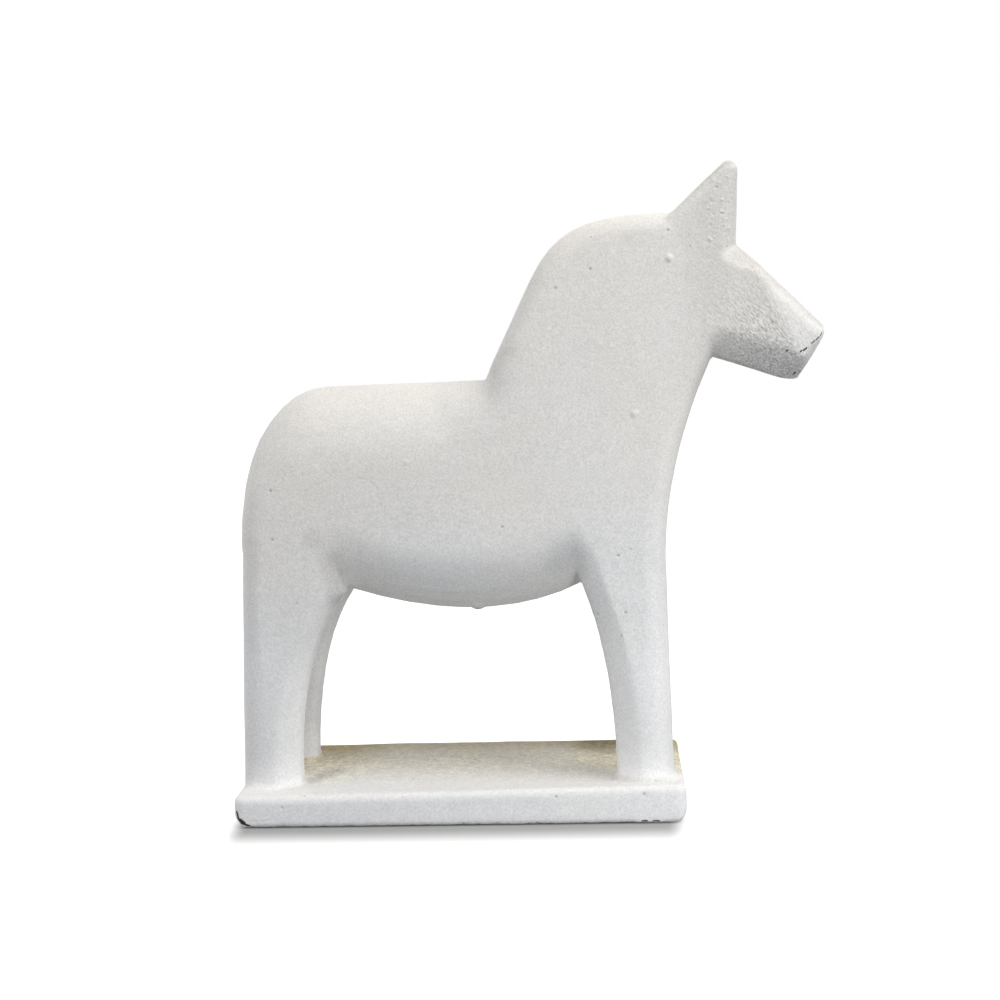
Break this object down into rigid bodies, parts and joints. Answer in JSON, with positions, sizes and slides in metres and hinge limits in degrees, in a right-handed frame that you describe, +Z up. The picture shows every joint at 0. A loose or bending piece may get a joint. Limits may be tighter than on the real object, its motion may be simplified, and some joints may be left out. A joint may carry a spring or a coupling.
{
  "type": "dala horse figure",
  "caption": "White-painted concrete dala horse standing on a cast-on rectangular plinth, a free-standing folk ornament with steel rods cast into its legs.",
  "frame": {"origin": "centre of the plinth's flat underside", "axes": "+X towards the muzzle, +Y towards the horse's left side, +Z up"},
  "size_m": [0.2634, 0.086, 0.2805],
  "materials": {
    "painted_concrete": "matt white paint over cast concrete",
    "rod_steel": "plain drawn mild steel, dull",
    "tie_wire": "black annealed wire"
  },
  "bodies": {
    "root": {"casting": "painted_concrete", "front_left_leg_rod": "rod_steel", "front_right_leg_rod": "rod_steel", "rear_left_leg_rod": "rod_steel", "rear_right_leg_rod": "rod_steel", "left_plinth_bar": "rod_steel", "right_plinth_bar": "rod_steel", "tie_wires": "tie_wire"}
  },
  "joints": []
}
